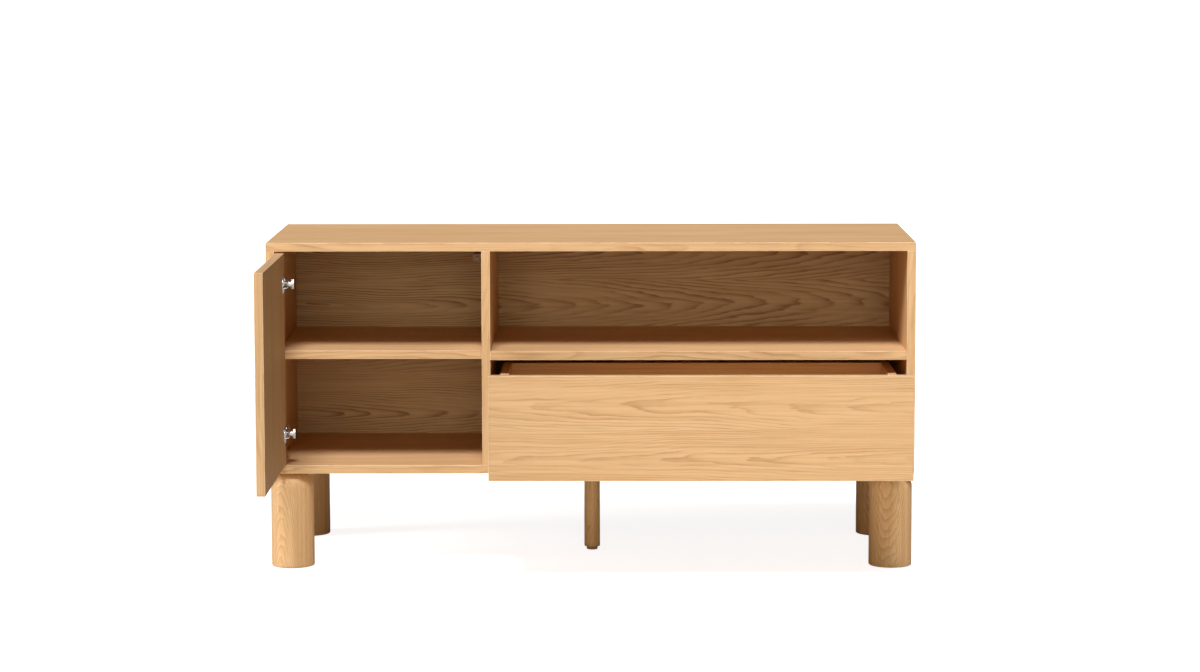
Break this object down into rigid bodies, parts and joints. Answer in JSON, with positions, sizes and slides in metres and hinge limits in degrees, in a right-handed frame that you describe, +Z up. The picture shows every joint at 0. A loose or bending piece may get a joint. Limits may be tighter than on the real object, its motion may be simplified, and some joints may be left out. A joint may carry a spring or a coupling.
{
  "type": "tv stand with doors",
  "caption": "Low oak cabinet on round legs with an inset hinged door, an open bay and an inset drawer beneath it.",
  "frame": {"origin": "on the floor, under the middle of the carcass, at the centre of the middle foot's lower face", "axes": "X to the right as seen from the front, Y towards the back, Z up; the door and the drawer face -Y"},
  "size_m": [1.2, 0.808, 0.61],
  "materials": {
    "oak_veneer": "clear matt lacquer over oak veneer",
    "oak_sheet": "matt oak veneer on thin board",
    "solid_oak": "turned solid oak, clear matt lacquer",
    "beech": "plain beech",
    "nickel_steel": "nickel plated steel",
    "zinc_steel": "zinc plated steel",
    "grey_plastic": "grey moulded plastic",
    "brown_plastic": "brown moulded plastic",
    "dark_plastic": "dark moulded plastic"
  },
  "bodies": {
    "carcass": {"top_panel": "oak_veneer", "left_side_panel": "oak_veneer", "right_side_panel": "oak_veneer", "bottom_panel": "oak_veneer", "divider_panel": "oak_veneer", "fixed_shelf": "oak_veneer", "adjustable_shelf": "oak_veneer", "back_panel": "oak_sheet", "back_panel_screws": "zinc_steel", "top_dowels": "beech", "bottom_dowels": "beech", "divider_dowels": "beech", "shelf_dowels": "beech", "shelf_pins": "nickel_steel", "leg_front_left": "solid_oak", "leg_front_right": "solid_oak", "leg_rear_left": "solid_oak", "leg_rear_right": "solid_oak", "leg_bolts": "zinc_steel", "leg_inserts": "zinc_steel", "leg_glides": "dark_plastic", "support_leg": "solid_oak", "support_bolt": "zinc_steel", "support_insert": "zinc_steel", "support_socket": "zinc_steel", "upper_hinge_arm": "nickel_steel", "upper_hinge_plate": "nickel_steel", "lower_hinge_arm": "nickel_steel", "lower_hinge_plate": "nickel_steel", "hinge_plate_screws": "nickel_steel", "hinge_arm_screws": "nickel_steel", "door_latch_housing": "brown_plastic", "door_latch_screw": "zinc_steel", "left_slide_packer": "grey_plastic", "left_slide_outer": "zinc_steel", "right_slide_packer": "grey_plastic", "right_slide_outer": "zinc_steel", "slide_outer_screws": "zinc_steel", "drawer_latch_housing": "grey_plastic", "drawer_latch_screws": "zinc_steel"},
    "door": {"door_panel": "oak_veneer", "door_strike": "nickel_steel", "upper_hinge_cup": "nickel_steel", "lower_hinge_cup": "nickel_steel"},
    "drawer": {"drawer_front": "oak_veneer", "drawer_left_side": "oak_veneer", "drawer_right_side": "oak_veneer", "drawer_back": "oak_veneer", "drawer_bottom": "oak_sheet", "drawer_front_dowels": "beech", "drawer_back_dowels": "beech", "left_slide_inner": "zinc_steel", "right_slide_inner": "zinc_steel", "slide_inner_screws": "zinc_steel"},
    "left_middle_slide": {"left_slide_middle": "zinc_steel"},
    "right_middle_slide": {"right_slide_middle": "zinc_steel"},
    "door_plunger": {"door_latch_plunger": "brown_plastic"},
    "drawer_plunger": {"drawer_latch_plunger": "grey_plastic"},
    "foot": {"levelling_foot": "dark_plastic"}
  },
  "joints": [
    {"name": "door_hinge", "type": "hinge", "parent": "carcass", "child": "door", "pos_m": [-0.582, -0.215, 0.3945], "axis": [0, 0, 1], "range_deg": [-15, 90]},
    {"name": "drawer_slide", "type": "slide", "parent": "carcass", "child": "drawer", "axis": [0, 1, 0], "range_m": [-0.13, 0.21]},
    {"name": "left_middle_travel", "type": "slide", "parent": "carcass", "child": "left_middle_slide", "axis": [0, 1, 0], "range_m": [-0.065, 0.105]},
    {"name": "right_middle_travel", "type": "slide", "parent": "carcass", "child": "right_middle_slide", "axis": [0, 1, 0], "range_m": [-0.065, 0.105]},
    {"name": "door_plunger_travel", "type": "slide", "parent": "carcass", "child": "door_plunger", "axis": [0, 1, 0], "range_m": [0, 0.003], "stiffness_N_per_m": 400},
    {"name": "drawer_plunger_travel", "type": "slide", "parent": "carcass", "child": "drawer_plunger", "axis": [0, 1, 0], "range_m": [0, 0.0025], "stiffness_N_per_m": 400},
    {"name": "foot_travel", "type": "slide", "parent": "carcass", "child": "foot", "axis": [0, 0, 1], "range_m": [-0.006, 0.005]}
  ],
  "couplings": [
    {"joint": "left_middle_travel", "follows": "drawer_slide", "ratio": 0.5},
    {"joint": "right_middle_travel", "follows": "drawer_slide", "ratio": 0.5}
  ]
}
